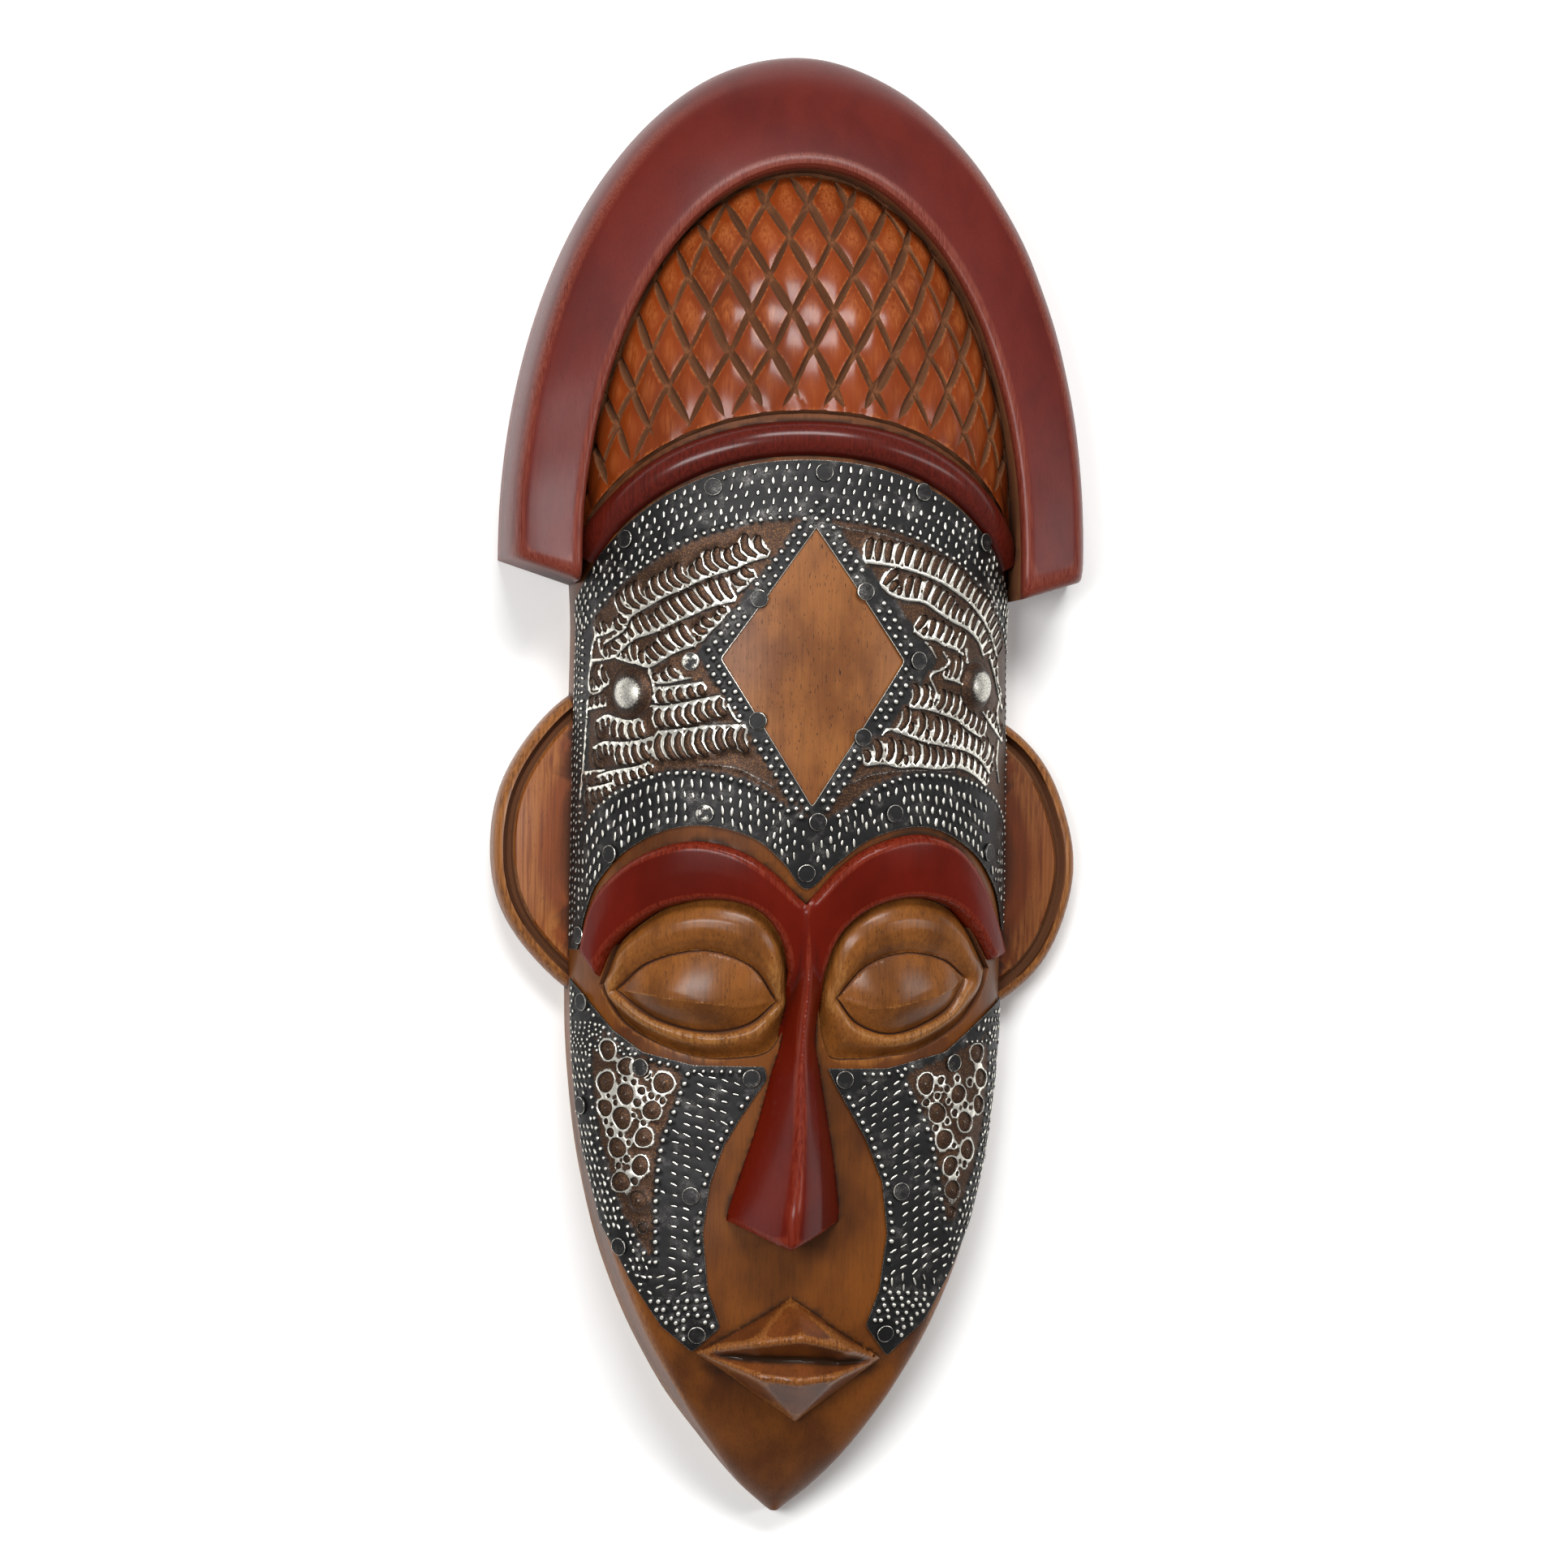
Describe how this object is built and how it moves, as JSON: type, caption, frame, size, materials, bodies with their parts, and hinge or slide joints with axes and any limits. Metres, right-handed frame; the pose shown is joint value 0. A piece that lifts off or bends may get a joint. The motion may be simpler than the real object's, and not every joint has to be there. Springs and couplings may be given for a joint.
{
  "type": "wooden mask",
  "caption": "Long carved wooden face mask with an arched hood, latticed hair dome, closed eyes and embossed metal sheets pinned over forehead and cheeks, lying on its flat hollowed back.",
  "frame": {"origin": "on the flat back, under the middle of the mask's length and width", "axes": "+X to the viewer's right, +Y from the chin to the crest of the hood, +Z out of the face"},
  "size_m": [0.2009, 0.4974, 0.0805],
  "materials": {
    "stained_wood": "satin stains in maroon, red, orange-brown and golden brown, with bare dark grooves",
    "embossed_aluminium": "embossed, dark patina with polished tops",
    "nail_heads": "dull dark metal"
  },
  "bodies": {
    "root": {"carved_wood": "stained_wood", "forehead_sheet": "embossed_aluminium", "cheek_sheet_left": "embossed_aluminium", "cheek_sheet_right": "embossed_aluminium", "nail_forehead_01": "nail_heads", "nail_forehead_02": "nail_heads", "nail_forehead_03": "nail_heads", "nail_forehead_04": "nail_heads", "nail_forehead_05": "nail_heads", "nail_forehead_06": "nail_heads", "nail_forehead_07": "nail_heads", "nail_forehead_08": "nail_heads", "nail_forehead_09": "nail_heads", "nail_forehead_10": "nail_heads", "nail_forehead_11": "nail_heads", "nail_forehead_12": "nail_heads", "nail_forehead_13": "nail_heads", "nail_forehead_14": "nail_heads", "nail_forehead_15": "nail_heads", "nail_forehead_16": "nail_heads", "nail_forehead_17": "nail_heads", "nail_forehead_18": "nail_heads", "nail_left_01": "nail_heads", "nail_left_02": "nail_heads", "nail_left_03": "nail_heads", "nail_left_04": "nail_heads", "nail_left_05": "nail_heads", "nail_left_06": "nail_heads", "nail_left_07": "nail_heads", "nail_right_01": "nail_heads", "nail_right_02": "nail_heads", "nail_right_03": "nail_heads", "nail_right_04": "nail_heads"}
  },
  "joints": []
}
